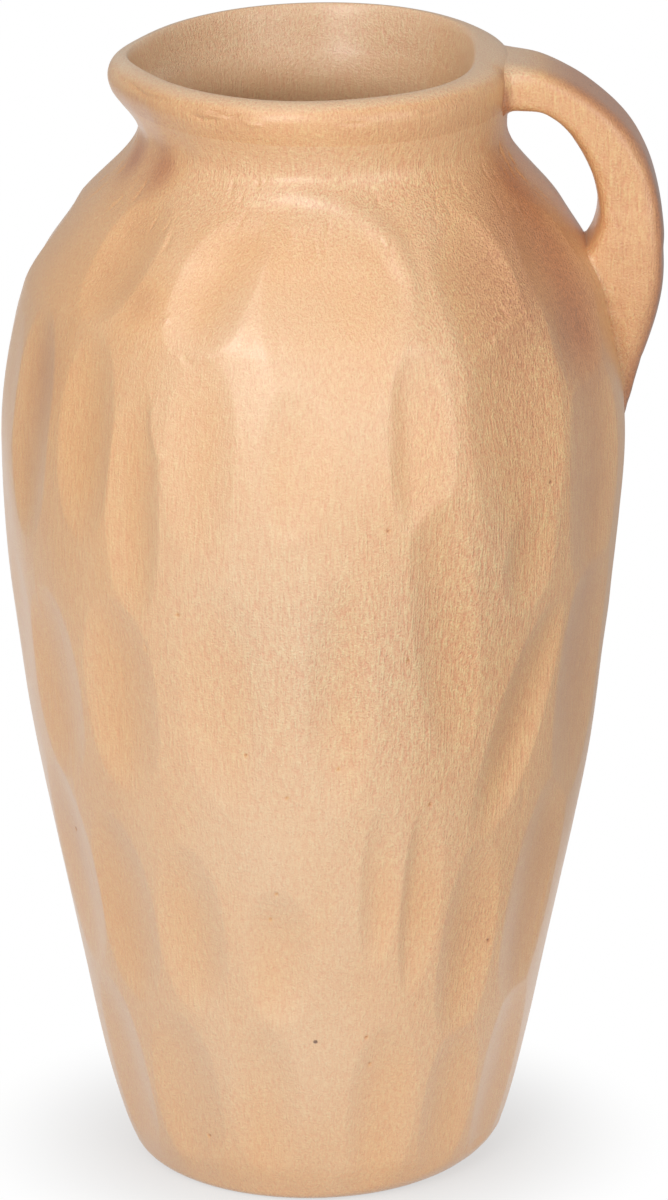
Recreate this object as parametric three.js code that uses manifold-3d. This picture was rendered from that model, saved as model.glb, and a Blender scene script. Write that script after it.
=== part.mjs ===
// A hand-built clay vase with a flared lip, drawn out to a pouring tip, and one strap handle.
// It is raised as a potter raises it: a floor slab, five wall courses, a neck collar and a rim coil,
// each luted flat on the one below, and a pulled strap handle luted to the rim and the shoulder.
// Millimetres. Z is up, the foot stands on z = 0 round the Z axis, and the handle is on the +X side.
import * as THREE from "three";
import Module from "manifold-3d";

const wasm = await Module();
wasm.setup();
const { degToRad, euclideanModulo, lerp, smoothstep } = THREE.MathUtils;

// Outside of the wall: heights above the table and radii from the axis.
const HEIGHT = 400;
const FOOT_RADIUS = 61.5;
const FOOT_EDGE = 5;
const HEEL_HEIGHT = 15;
const HEEL_RADIUS = 68.3;
const LOWER_HEIGHT = 80;
const LOWER_RADIUS = 83;
const UPPER_HEIGHT = 180;
const UPPER_RADIUS = 101.6;
const BELLY_HEIGHT = 263;
const BELLY_RADIUS = 109;

// The shoulder, the throat and the lip hang from the rim's crest, so these are drops below it.
const SHOULDER_DROP = 82;
const SHOULDER_RADIUS = 100.9;
const CROWN_DROP = 56;
const CROWN_RADIUS = 85.6;
const THROAT_DROP = 26;
const THROAT_RADIUS = 64;
const LIP_DROP = 7.5;
const LIP_RADIUS = 68;
const CREST_RADIUS = 61.5;

// Opposite the handle the lip is drawn out into a pouring tip: how far, how wide each way in degrees, and
// how far below the crest it has its full reach.
const TIP_REACH = 4.2;
const TIP_TURN = 16;
const TIP_FULL_DROP = 12;

// Clay thickness.
const FLOOR = 12;
const WALL = 9;

// Where the courses are luted together: heights of the wall joints, and drops of the joints above them.
const WALL_JOINTS = [75, 150, 225];
const SHOULDER_JOINT_DROP = 100;
const NECK_JOINT_DROP = 37;
const RIM_JOINT_DROP = 16;

// What the hand leaves: above the shoulder the neck leans a little towards the handle, the lip is pulled back,
// and the rim is higher at the handle and behind.
const LEAN_DROP = 96;
const NECK_LEAN = 3;
const LIP_SHIFT = -2.2;
const RIM_LIFT = 0.9;
const BACK_LIFT = 1;

// The strap handle. Its line leaves the rim level, turns down just inside the belly's radius and dies into
// the wall.
const STRAP_THICK_TOP = 17;
const STRAP_THICK = 22;
const STRAP_THICK_FOOT = 32;
const STRAP_WIDTH_TOP = 54;
const STRAP_WIDTH = 29;
const STRAP_WIDTH_FOOT = 34;
const STRAP_WIDTH_TIP = 12;
const STRAP_SQUARENESS = 3.2;
const HANDLE_TOP_DROP = 10.5;
const HANDLE_INSET = 0.4;
const HANDLE_REACH_DROP = 55;
const HANDLE_FOOT_DROP = 128;
const SEAT = 0.3;

// Paddle marks: tiers of long shallow hollows beaten side by side into the wall.
// A mark's width is an angle round the axis. The angles in degrees are the marks that the photo shows, and
// the side away from it carries the tier on at even steps.
const PADDLE_DEPTH = 2;
const TIERS = [
  { height: 38, length: 74, width: 22, seen: [-150, -126, -101, -75, -50, -27] },
  { height: 112, length: 92, width: 18, seen: [-158, -139, -119, -98, -77, -58, -41, -20] },
  { height: 196, length: 96, width: 18, seen: [-166, -147, -124, -105, -87, -67, -45, -24] },
  { height: 282, length: 88, width: 17, seen: [-168, -152, -135, -113, -92, -72, -54, -36, -17] },
  { height: 338, length: 54, width: 24, seen: [-164, -137, -110, -85, -56, -32, -8] },
];

// How finely the round forms are cut into facets.
const AROUND = 72;
const ROW = 11;
const INSIDE_ROW = 30;
const SECTION_STEPS = 15;
const STRAP_STEPS = 26;
const STRAP_SIDES = 20;

const throatHeight = HEIGHT - THROAT_DROP;
const rimJoint = HEIGHT - RIM_JOINT_DROP;
const joints = [FLOOR, ...WALL_JOINTS, HEIGHT - SHOULDER_JOINT_DROP, HEIGHT - NECK_JOINT_DROP, rimJoint];

// A smooth line through [height, radius] stations that never swings past them.
function lineThrough(stations) {
  const slopes = stations.slice(1).map(([h, r], i) => (r - stations[i][1]) / (h - stations[i][0]));
  const tangents = stations.map((_, i) => {
    if (i === 0) return slopes[0];
    if (i === slopes.length) return slopes[i - 1];
    const [before, after] = [slopes[i - 1], slopes[i]];
    return before * after <= 0 ? 0 : (2 * before * after) / (before + after);
  });
  return (height) => {
    const last = stations.length - 2;
    const found = stations.findIndex(([h], i) => i > 0 && height <= h) - 1;
    const i = found < 0 ? last : found;
    const [[h0, r0], [h1, r1]] = [stations[i], stations[i + 1]];
    const span = h1 - h0;
    const t = (height - h0) / span;
    const bend = t * (1 - t);
    const pull = (tangents[i] * span - (r1 - r0)) * (1 - t) + ((r1 - r0) - tangents[i + 1] * span) * t;
    return lerp(r0, r1, t) + bend * pull;
  };
}

const outerLine = lineThrough([
  [0, FOOT_RADIUS],
  [HEEL_HEIGHT, HEEL_RADIUS],
  [LOWER_HEIGHT, LOWER_RADIUS],
  [UPPER_HEIGHT, UPPER_RADIUS],
  [BELLY_HEIGHT, BELLY_RADIUS],
  [HEIGHT - SHOULDER_DROP, SHOULDER_RADIUS],
  [HEIGHT - CROWN_DROP, CROWN_RADIUS],
  [throatHeight, THROAT_RADIUS],
  [HEIGHT - LIP_DROP, LIP_RADIUS],
]);

// The inside keeps the wall's thickness square to the slope.
function innerLine(height) {
  const reach = 0.5;
  const slope = (outerLine(height + reach) - outerLine(height - reach)) / (2 * reach);
  return outerLine(height) - WALL * Math.hypot(1, slope);
}

const mouthRadius = innerLine(rimJoint);

// The angles of all marks of a tier: those seen, then the rest of the turn at about the same spacing.
function markAngles({ seen }) {
  const [first, last] = [seen[0], seen[seen.length - 1]];
  const spacing = (last - first) / (seen.length - 1);
  const rest = first + 360 - last;
  const steps = Math.round(rest / spacing);
  const unseen = Array.from({ length: steps - 1 }, (_, i) => last + (rest * (i + 1)) / steps);
  return [...seen, ...unseen].map(degToRad);
}

const tierMarks = TIERS.map((tier) => ({ ...tier, angles: markAngles(tier) }));

// How deep the deepest paddle mark at a place is.
function paddleDepth(angle, height) {
  let deepest = 0;
  for (const tier of tierMarks) {
    const along = (height - tier.height) / (tier.length / 2);
    for (const centre of tier.angles) {
      const turn = euclideanModulo(angle - centre + Math.PI, 2 * Math.PI) - Math.PI;
      const across = turn / degToRad(tier.width / 2);
      const inside = 1 - along * along - across * across;
      if (inside > 0) deepest = Math.max(deepest, PADDLE_DEPTH * Math.sqrt(inside) * inside);
    }
  }
  return deepest;
}

// How far a place on the neck or the rim is drawn out towards the pouring tip.
function tipPull(radius, angle, height) {
  const turn = euclideanModulo(angle, 2 * Math.PI) - Math.PI;
  const round = Math.exp(-((turn / degToRad(TIP_TURN)) ** 2));
  const up = smoothstep(height, throatHeight, HEIGHT - TIP_FULL_DROP);
  const out = smoothstep(radius, mouthRadius, CREST_RADIUS);
  return TIP_REACH * round * up * out;
}

// How far the middle of a ring at a height stands towards the handle.
function leanAt(height) {
  const neck = NECK_LEAN * smoothstep(height, HEIGHT - LEAN_DROP, throatHeight);
  return neck + LIP_SHIFT * smoothstep(height, throatHeight, HEIGHT - LIP_DROP);
}

// A point of the vase, with the pouring tip, the neck's lean and the rim's lift added.
function place(radius, angle, height) {
  const tilt = RIM_LIFT * Math.cos(angle) + BACK_LIFT * Math.sin(angle);
  const lift = tilt * smoothstep(height, rimJoint, HEIGHT) * (radius / CREST_RADIUS);
  const drawn = radius + tipPull(radius, angle, height);
  const [x, y] = [drawn * Math.cos(angle), drawn * Math.sin(angle)];
  return new THREE.Vector3(leanAt(height) + x, y, height + lift);
}

// One ring of points at a height, from a radius or from a function of the angle.
function ring(radius, height) {
  return Array.from({ length: AROUND }, (_, i) => {
    const angle = (2 * Math.PI * i) / AROUND;
    return place(typeof radius === "function" ? radius(angle) : radius, angle, height);
  });
}

const outerRing = (height, grow = 0) =>
  ring((angle) => outerLine(height) - paddleDepth(angle, height) + grow, height);
const innerRing = (height) => ring(innerLine(height), height);

// Heights from one joint to the next, both included, about a step apart.
function heights(from, to, step) {
  const count = Math.max(1, Math.round(Math.abs(to - from) / step));
  return Array.from({ length: count + 1 }, (_, i) => lerp(from, to, i / count));
}

// A closed surface over rings. A ring of one point closes an end; a loop joins the last ring to the first.
function skin(rings, loop = false) {
  const corners = rings.flat();
  const starts = rings.map((_, i) => rings.slice(0, i).flat().length);
  const at = (i, j) => starts[i] + (rings[i].length === 1 ? 0 : j % rings[i].length);
  const faces = [];
  const bands = loop ? rings.length : rings.length - 1;
  for (let i = 0; i < bands; i++) {
    const next = (i + 1) % rings.length;
    const sides = Math.max(rings[i].length, rings[next].length);
    for (let j = 0; j < sides; j++) {
      const [a, b, c, d] = [at(i, j), at(i, j + 1), at(next, j + 1), at(next, j)];
      if (a !== b) faces.push(a, b, c);
      if (c !== d) faces.push(a, c, d);
    }
  }
  const positions = new Float32Array(corners.flatMap((p) => p.toArray()));
  return new THREE.BufferGeometry()
    .setAttribute("position", new THREE.BufferAttribute(positions, 3))
    .setIndex(faces);
}

function solidOf(geometry) {
  const vertProperties = geometry.getAttribute("position").array;
  const triVerts = new Uint32Array(geometry.index.array);
  return new wasm.Manifold(new wasm.Mesh({ numProp: 3, vertProperties, triVerts }));
}

function geometryOf(solid) {
  const { vertProperties, triVerts } = solid.getMesh();
  return new THREE.BufferGeometry()
    .setAttribute("position", new THREE.BufferAttribute(vertProperties, 3))
    .setIndex(new THREE.BufferAttribute(triVerts, 1));
}

// The floor slab: a flat disc whose edge starts the wall's outline, with its bottom corner rounded.
function floorSlab() {
  const corner = [0, 0.5, 1].map((share) => {
    const turn = (share * Math.PI) / 2;
    const inset = FOOT_EDGE * (1 - Math.sin(turn));
    return outerRing(FOOT_EDGE * (1 - Math.cos(turn)), -inset);
  });
  const top = new THREE.Vector3(0, 0, FLOOR);
  return skin([[new THREE.Vector3(0, 0, 0)], ...corner, outerRing(FLOOR), [top]]);
}

// A wall course between two joints, paddled outside and smooth inside.
function wallCourse(from, to) {
  const outside = heights(from, to, ROW).map((h) => outerRing(h));
  const inside = heights(to, from, INSIDE_ROW).map((h) => innerRing(h));
  return skin([...outside, ...inside], true);
}

// The rim coil: it leans out to the lip, rounds over to the crest and falls like a funnel into the mouth.
const rimSection = new THREE.SplineCurve([
  new THREE.Vector2(outerLine(rimJoint), rimJoint),
  new THREE.Vector2(LIP_RADIUS, HEIGHT - LIP_DROP),
  new THREE.Vector2(lerp(LIP_RADIUS, CREST_RADIUS, 0.4), lerp(HEIGHT - LIP_DROP, HEIGHT, 0.78)),
  new THREE.Vector2(CREST_RADIUS, HEIGHT),
  new THREE.Vector2(lerp(CREST_RADIUS, mouthRadius, 0.55), lerp(HEIGHT, rimJoint, 0.45)),
  new THREE.Vector2(mouthRadius, rimJoint),
]);

function rimCoil() {
  return skin(rimSection.getPoints(SECTION_STEPS).map((p) => ring(p.x, p.y)), true);
}

// Everything inside the vase's outline, grown by a seat gap, for seating the handle on it.
function outlineSolid(grow) {
  const rows = joints.slice(1).flatMap((to, i) => heights(joints[i], to, ROW).slice(1));
  const wall = [0, ...rows].map((h) => outerRing(h, grow));
  const roll = rimSection.getPoints(SECTION_STEPS).slice(1);
  const highest = roll.reduce((best, p, i) => (p.y > roll[best].y ? i : best), 0);
  const crown = roll.slice(0, highest + 1).map((p) => ring(p.x + grow, p.y + grow));
  const bottom = new THREE.Vector3(0, 0, 0);
  const top = new THREE.Vector3(leanAt(HEIGHT), 0, HEIGHT + grow);
  return solidOf(skin([[bottom], ...wall, ...crown, [top]]));
}

// The strap's thickness and width along its line: spread on the rim, slim in the hand, and drawn out on
// the shoulder into a tongue that ends in a point.
const strapThick = lineThrough([
  [0, STRAP_THICK_TOP],
  [0.2, STRAP_THICK_TOP],
  [0.48, STRAP_THICK],
  [0.75, STRAP_THICK_FOOT],
  [1, STRAP_THICK_FOOT],
]);
const strapWidth = lineThrough([
  [0, STRAP_WIDTH_TOP],
  [0.3, STRAP_WIDTH],
  [0.45, STRAP_WIDTH],
  [0.6, STRAP_WIDTH_FOOT],
  [1, STRAP_WIDTH_TIP],
]);

// The strap: rounded-square sections along its line, cut to sit on the rim, the neck and the shoulder.
function strapHandle() {
  const top = HEIGHT - HANDLE_TOP_DROP;
  const out = HEIGHT - HANDLE_REACH_DROP;
  const foot = HEIGHT - HANDLE_FOOT_DROP;
  const reach = BELLY_RADIUS - HANDLE_INSET;
  const rootRadius = CREST_RADIUS - WALL / 2;
  const footRadius = outerLine(foot) - STRAP_THICK_FOOT / 2;
  const line = new THREE.CatmullRomCurve3([
    new THREE.Vector3(rootRadius, 0, top),
    new THREE.Vector3(lerp(rootRadius, reach, 0.35), 0, lerp(top, out, 0.025)),
    new THREE.Vector3(lerp(rootRadius, reach, 0.74), 0, lerp(top, out, 0.3)),
    new THREE.Vector3(reach, 0, out),
    new THREE.Vector3(lerp(reach, footRadius, 0.35), 0, lerp(out, foot, 0.5)),
    new THREE.Vector3(footRadius, 0, foot),
  ]);
  const side = new THREE.Vector3(0, 1, 0);
  const sections = heights(0, 1, 1 / STRAP_STEPS).map((along) => {
    const centre = line.getPointAt(along);
    const outward = line.getTangentAt(along).cross(side).negate();
    const thick = strapThick(along);
    const width = strapWidth(along);
    return Array.from({ length: STRAP_SIDES }, (_, k) => {
      const turn = (2 * Math.PI * k) / STRAP_SIDES;
      const rounded = (value) => Math.sign(value) * Math.abs(value) ** (2 / STRAP_SQUARENESS);
      return centre
        .clone()
        .addScaledVector(outward, (thick / 2) * rounded(Math.cos(turn)))
        .addScaledVector(side, (width / 2) * rounded(Math.sin(turn)));
    });
  });
  const ends = [line.getPointAt(0), line.getPointAt(1)];
  const strap = solidOf(skin([[ends[0]], ...sections, [ends[1]]]));
  return geometryOf(strap.subtract(outlineSolid(SEAT)));
}

// Fired clay under one thin warm coat; the handle and the rim are burnished a little smoother by the hand.
function clay(roughness) {
  return new THREE.MeshStandardMaterial({ color: 0xdcae82, roughness, metalness: 0 });
}

function piece(name, geometry, roughness = 0.6) {
  geometry.computeVertexNormals();
  const mesh = new THREE.Mesh(geometry, clay(roughness));
  mesh.name = name;
  return mesh;
}

const vase = new THREE.Group();
vase.name = "vase";
vase.add(piece("floor_slab", floorSlab()));
const wallNames = ["foot", "lower", "middle", "belly", "shoulder"].map((name) => `${name}_course`);
[...wallNames, "neck_collar"].forEach((name, i) => {
  vase.add(piece(name, wallCourse(joints[i], joints[i + 1])));
});
vase.add(piece("rim_coil", rimCoil(), 0.5));
vase.add(piece("strap_handle", strapHandle(), 0.5));

export default vase;
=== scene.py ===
# %% [markdown]
# # A hand-built clay vase
#
# The real vase is raised by hand from rings of clay, beaten with a paddle, and given a strap handle.
# The CAD model has its pieces in their places, and this lesson dresses each piece as fired clay.
# Everything is in metres in the CAD model's frame: the foot is on z = 0 and the handle is at +X.

# %% Load the CAD frame
import math

import bpy
import numpy as np
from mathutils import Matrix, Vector


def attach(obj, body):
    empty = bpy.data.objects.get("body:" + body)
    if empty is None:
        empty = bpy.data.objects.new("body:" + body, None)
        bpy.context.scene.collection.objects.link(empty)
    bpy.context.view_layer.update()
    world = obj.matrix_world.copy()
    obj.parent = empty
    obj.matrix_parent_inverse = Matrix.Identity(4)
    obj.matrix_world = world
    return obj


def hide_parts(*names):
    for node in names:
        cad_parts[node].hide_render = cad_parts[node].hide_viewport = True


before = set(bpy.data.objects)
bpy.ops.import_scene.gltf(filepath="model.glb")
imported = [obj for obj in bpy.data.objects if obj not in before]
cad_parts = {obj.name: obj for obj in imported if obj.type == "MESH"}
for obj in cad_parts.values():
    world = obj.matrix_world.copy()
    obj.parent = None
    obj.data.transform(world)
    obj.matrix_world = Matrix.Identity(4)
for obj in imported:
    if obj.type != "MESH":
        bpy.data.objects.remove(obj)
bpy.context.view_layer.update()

# %% [markdown]
# ## The camera
#
# The photo looks down on the mouth, whose ellipse gives the angle: about 18 degrees at the mouth.
# Its sides hardly converge, so the camera stands far off behind a long lens.
# A wide lens close by would show the same vase with a swollen mouth and a pinched foot.

# %% Camera
EYE = Vector((0.007, -3.4, 1.311))
AIM = Vector((0.007, 0.0, 0.2012))
LENS_MM = 306.4
SENSOR_MM = 36.0


def point_at(thing, target):
    """Turns a camera or a lamp to face a point."""
    thing.rotation_euler = (Vector(target) - thing.location).to_track_quat("-Z", "Y").to_euler()


camera = bpy.data.objects.new("camera", bpy.data.cameras.new("camera"))
camera.data.lens = LENS_MM
camera.data.sensor_width = SENSOR_MM
camera.data.sensor_height = SENSOR_MM
camera.location = EYE
bpy.context.scene.collection.objects.link(camera)
point_at(camera, AIM)
bpy.context.scene.camera = camera
print("camera looks down by", round(math.degrees(math.atan2(EYE.z - AIM.z, -EYE.y)), 1), "degrees")

# %% [markdown]
# ## The wall's outline
#
# A pot is round, so its wall is one line turned about the axis. The line runs through a few stations,
# each a height and a radius in millimetres, and never swings past them.
# The same stations drive the CAD model, so the dressed wall lies on the solid one.

# %% Outline of the wall
MM = 0.001
HEIGHT = 400.0
FLOOR = 12.0
WALL = 9.0
BELLY_HEIGHT = 263.0
THROAT_HEIGHT = 374.0
LIP_HEIGHT = 392.5
LIP_RADIUS = 68.0
CREST_RADIUS = 61.5


def line_through(stations, level_end=False):
    """A smooth line through (place, value) stations, as a function of the place."""
    place, value = np.array(stations, float).T
    slope = np.diff(value) / np.diff(place)
    before, after = slope[:-1], slope[1:]
    turning = before * after <= 0
    shared = 2 * before * after / np.where(turning, 1.0, before + after)
    end = 0.0 if level_end else slope[-1]
    tangent = np.concatenate([[slope[0]], np.where(turning, 0.0, shared), [end]])

    def at(where):
        where = np.asarray(where, float)
        i = np.clip(np.searchsorted(place, where) - 1, 0, len(place) - 2)
        span = place[i + 1] - place[i]
        rise = value[i + 1] - value[i]
        t = (where - place[i]) / span
        pull = (tangent[i] * span - rise) * (1 - t) + (rise - tangent[i + 1] * span) * t
        return value[i] + rise * t + t * (1 - t) * pull

    return at


outer_line = line_through(
    [
        (0, 61.5),
        (15, 68.3),
        (80, 83),
        (180, 101.6),
        (BELLY_HEIGHT, 109),
        (318, 100.9),
        (344, 85.6),
        (THROAT_HEIGHT, 64),
        (LIP_HEIGHT, LIP_RADIUS),
    ],
    level_end=True,
)


def inner_line(height):
    """The inside keeps the wall's thickness square to the slope."""
    reach = 0.5
    slope = (outer_line(height + reach) - outer_line(height - reach)) / (2 * reach)
    return outer_line(height) - WALL * np.hypot(1, slope)


belly, throat = (float(outer_line(height)) for height in (BELLY_HEIGHT, THROAT_HEIGHT))
print("belly radius", belly, "mm, throat", throat, "mm")

# %% [markdown]
# ## Rows and columns of the skin
#
# The skin is a grid: rows are heights and columns are angles round the axis. The photographed half has
# finer columns than the far half. Each piece of the pot takes the rows between its own two joints.

# %% Grid of the skin
NECK_JOINT = 363.0
RIM_JOINT = 384.0
JOINTS = [0.0, FLOOR, 75.0, 150.0, 225.0, 300.0, NECK_JOINT, RIM_JOINT]
ROW = 0.8
FRONT_COLUMNS = 640
BACK_COLUMNS = 240

front_half = np.linspace(-np.pi, 0, FRONT_COLUMNS, endpoint=False)
back_half = np.linspace(0, np.pi, BACK_COLUMNS, endpoint=False)
angles = np.concatenate([front_half, back_half])[None, :]
rows = [np.linspace(low, high, round((high - low) / ROW) + 1) for low, high in zip(JOINTS, JOINTS[1:])]


def smoothstep(value, low, high):
    """Climbs smoothly from nought at the low value to one at the high value."""
    t = np.clip((value - low) / (high - low), 0, 1)
    return t * t * (3 - 2 * t)


def wrap(angle):
    """The same angle between minus and plus half a turn."""
    return (angle + np.pi) % (2 * np.pi) - np.pi


print(angles.size, "columns,", sum(len(heights) for heights in rows), "rows")

# %% [markdown]
# ## Paddle marks
#
# The potter beats the soft wall with a paddle, and each blow leaves a long shallow hollow.
# Neighbouring hollows meet in soft ridges, which catch the light and make the whole character of the pot.
# They could be a bump texture, but they change the outline, so they are real hollows in the mesh.
# On the photographed side they are placed one by one. The far side carries the tiers on, with some chance.

# %% Paddle marks
# Angle in degrees and height of the deepest place, then its reach to the left, to the right, up and down,
# its depth, and how far it leans to the right for each millimetre up. Lengths are in millimetres.
SEEN_MARKS = [
    (172, 327, 20, 18, 20, 26, 1.2, 0),
    (-140, 343, 15, 14, 18, 22, 2.0, 0),
    (-113, 341, 15, 15, 19, 25, 1.6, 0.2),
    (-86, 340, 26, 26, 20, 46, 1.9, 0),
    (-53, 338, 17, 17, 21, 36, 2.1, 0),
    (-27, 328, 19, 20, 28, 40, 2.2, 0),
    (-170, 285, 14, 14, 28, 28, 0.4, 0),
    (-156, 280, 15, 16, 40, 42, 2.0, 0),
    (-137, 282, 14, 14, 38, 36, 1.8, 0),
    (-124, 262, 13, 10, 44, 40, 1.5, 0),
    (-111, 284, 14, 13, 34, 36, 1.1, 0),
    (-93, 285, 13, 14, 32, 30, 1.15, 0.1),
    (-71, 286, 10, 15, 36, 30, 1.6, 0),
    (-49, 290, 21, 23, 50, 54, 2.0, 0),
    (-25, 262, 21, 20, 44, 44, 1.9, 0),
    (-64.5, 224, 13, 13, 54, 54, 1.7, -0.14),
    (-47, 246, 12, 14, 22, 24, 1.7, 0),
    (-165, 203, 12, 13, 26, 26, 0.4, 0),
    (-150, 188, 17, 17, 36, 36, 2.0, 0),
    (-130, 192, 16, 17, 38, 36, 2.0, 0),
    (-107, 200, 16, 16, 40, 45, 1.2, 0),
    (-85, 200, 12, 13, 46, 46, 1.3, 0),
    (-44, 184, 14, 12, 40, 46, 1.9, 0.3),
    (-23, 190, 20, 20, 50, 50, 2.0, 0),
    (0, 242, 18, 18, 44, 44, 0.7, 0),
    (-157, 118, 17, 17, 38, 40, 1.8, 0),
    (-138, 108, 15, 15, 38, 36, 1.6, 0),
    (-119, 106, 14, 14, 34, 34, 1.5, 0),
    (-98, 98, 13, 13, 28, 26, 1.5, 0),
    (-76, 124, 7, 8, 34, 30, 1.1, 0),
    (-67, 120, 6, 10, 36, 38, 1.3, 0),
    (-52, 98, 12, 13, 42, 40, 1.8, 0),
    (-30, 110, 17, 17, 45, 45, 1.9, 0),
    (-152, 40, 15, 15, 36, 34, 1.5, 0),
    (-127, 38, 15, 15, 34, 30, 1.4, 0),
    (-103, 40, 13, 13, 32, 30, 1.2, 0),
    (-72, 38, 12, 14, 34, 36, 1.5, 0),
    (-50, 36, 12, 12, 32, 32, 1.6, 0),
    (-28, 40, 14, 14, 36, 36, 1.6, 0),
]

# Tiers of the far side: height, reach sideways, reach up and down, depth, and how many marks fill it.
FAR_TIERS = [
    (338, 16, 24, 1.6, 7),
    (283, 15, 40, 1.4, 9),
    (196, 16, 42, 1.4, 9),
    (112, 15, 40, 1.2, 9),
    (40, 14, 34, 1.0, 7),
]
FAR_FROM = 12
FAR_TURN = 152
rng = np.random.default_rng(7)


def far_marks():
    """Carries every tier on round the back, from behind the handle to the left edge."""
    marks = []
    for height, sideways, endways, depth, count in FAR_TIERS:
        for step in range(count):
            angle = FAR_FROM + FAR_TURN * (step + 0.5) / count + rng.uniform(-3, 3)
            left, right = sideways * rng.uniform(0.75, 1.2, 2)
            up, down = endways * rng.uniform(0.85, 1.2, 2)
            centre = height + rng.uniform(-9, 9)
            pressed = depth * rng.uniform(0.7, 1.2)
            lean = rng.uniform(-0.15, 0.15)
            marks.append((angle, centre, left, right, up, down, pressed, lean))
    return marks


PADDLE_MARKS = SEEN_MARKS + far_marks()
print(len(SEEN_MARKS), "paddle marks seen,", len(PADDLE_MARKS) - len(SEEN_MARKS), "behind")

# %% [markdown]
# ## Ridges, nicks and scratches
#
# Finger ridges stand a little proud, where clay was pushed up between blows, and nicks and scratches are
# where a grain of sand was dragged through the skin. Each is a line drawn on the wall with a soft round
# section. The scraper left short strokes round the base of the neck and long faint ones down the wall.
# There are too many of those to place, so they come from a seeded draw.

# %% Lines drawn in the clay
# Points as angle in degrees and height, then half the width and the depth. A negative depth stands proud.
LINES = [
    (
        [(-122, 365), (-98, 367.5), (-86, 365.5), (-77, 360.5), (-71.5, 352), (-69, 341), (-69, 322)],
        2.8,
        -1.6,
    ),
    ([(-116, 317), (-110, 318), (-106.5, 324), (-104, 331), (-102.5, 338)], 2.0, -0.45),
    ([(-121.2, 304), (-121.4, 292), (-119.8, 284), (-117, 279.5)], 1.4, -0.5),
    ([(-54, 361), (-45, 353.5), (-42.5, 341), (-42.5, 330), (-40, 313)], 2.6, -0.7),
    ([(-120.6, 329.5), (-122.4, 326.6)], 0.9, -0.45),
    ([(-117, 318.5), (-115.2, 315.8), (-113, 315.4)], 0.9, 0.35),
    ([(-76.5, 315), (-76.3, 300), (-76, 282)], 1.6, 0.3),
    ([(-48.2, 330), (-47, 324)], 0.8, 0.6),
    ([(-59.4, 323.5), (-58.8, 321)], 0.8, 0.5),
    ([(-51.4, 321), (-50.8, 317.5)], 0.9, -0.45),
    ([(-53.2, 308.5), (-52.8, 303.5)], 0.7, 0.4),
    ([(-122.6, 215.5), (-122.4, 211)], 0.8, 0.5),
    ([(-80.2, 12), (-79.6, 4)], 0.8, 0.5),
    ([(-96, 256), (-92, 258)], 2.6, -0.25),
    ([(-15, 338), (-12.6, 329), (-11, 315), (-8, 300), (-3.5, 285)], 1.5, 0.7),
]

# Strokes of the scraper, on the neck and on the wall: how many, and the ranges of their height, length,
# slant in degrees, depth and half width.
STROKES = [
    (120, (352, 374), (3, 9), (-3, 3), (0.15, 0.5), (0.5, 0.9)),
    (130, (20, 350), (8, 40), (-1, 1), (-0.12, 0.16), (0.6, 1.6)),
]


def scraper_strokes():
    """Lines at any angle round the pot, each drawn from the ranges of its kind."""
    strokes = []
    for count, heights, lengths, slants, depths, half_widths in STROKES:
        for _ in range(count):
            angle, height = rng.uniform(-180, 180), rng.uniform(*heights)
            length, slant = rng.uniform(*lengths), rng.uniform(*slants)
            depth, half_width = rng.uniform(*depths), rng.uniform(*half_widths)
            strokes.append(([(angle, height), (angle + slant, height - length)], half_width, depth))
    return strokes


DRAWN = LINES + scraper_strokes()

# Pinholes that the photo shows, where a grain of chaff burnt out: angle in degrees and height.
PINHOLES = [
    (-115.3, 227.5), (-76.5, 260), (-41, 266.6), (-103, 177), (-84.7, 172.6),
    (-65.7, 156.6), (-71.7, 212), (-95, 162), (-98, 124.5), (-99.7, 113.8),
    (-44.8, 96.4), (-76.8, 67), (-75.3, 55.6), (-122, 23), (-156.5, 129),
]
PINHOLE_REACH = 0.55
PINHOLE_DEPTH = 0.7


def spots(height, listed):
    """Soft spots at these heights, all round the pot: angle, height, reach across and along, and amount."""
    height = np.asarray(height, float).reshape(-1, 1)
    total = np.zeros((len(height), angles.size))
    for angle, centre, across, along, amount in listed:
        beside = wrap(angles - math.radians(angle)) * outer_line(height) / across
        total += amount * np.exp(-(beside**2) - ((height - centre) / along) ** 2)
    return total


def pinholes(height):
    """One in the middle of a pinhole and nought away from them."""
    return spots(height, [(angle, centre, PINHOLE_REACH, PINHOLE_REACH, 1) for angle, centre in PINHOLES])


print(len(LINES), "ridges and nicks,", len(DRAWN) - len(LINES), "strokes,", len(PINHOLES), "pinholes")

# %% [markdown]
# ## Relief of the wall
#
# All the marks are added up into one depth for each place of the skin. Where hollows overlap the deepest
# one wins, softened a little, so that they meet in a rounded ridge instead of a knife edge.
# A line fades at both ends, as a tool is set down and lifted, and slow waves leave the wall uneven.

# %% Relief of the wall
PADDLE_FORCE = 1.6
SOFT_RIDGE = 6
SOFT_EDGE = 1.3
SQUARE_END = 2.4
LINE_FADE = 0.35
PADDLED_TO = (354, 369)
EVEN_FOOT = 10
WAVES_IN = 6
UNEVEN = 0.25
BROAD_WAVES = 0.2
FINE_WAVES = 0.1


def hollows(height):
    """How deep the paddle marks are at these heights, all round the pot."""
    radius = outer_line(height)
    total = np.zeros((len(height), angles.size))
    for angle, centre, left, right, up, down, depth, lean in PADDLE_MARKS:
        rise = height - centre
        across = wrap(angles - math.radians(angle)) * radius - lean * rise
        across = across / np.where(across < 0, left, right)
        along = rise / np.where(rise < 0, down, up)
        inside = np.clip(1 - across**2 - np.abs(along) ** SQUARE_END, 0, None)
        total += (PADDLE_FORCE * depth * inside**SOFT_EDGE) ** SOFT_RIDGE
    return total ** (1 / SOFT_RIDGE)


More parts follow.
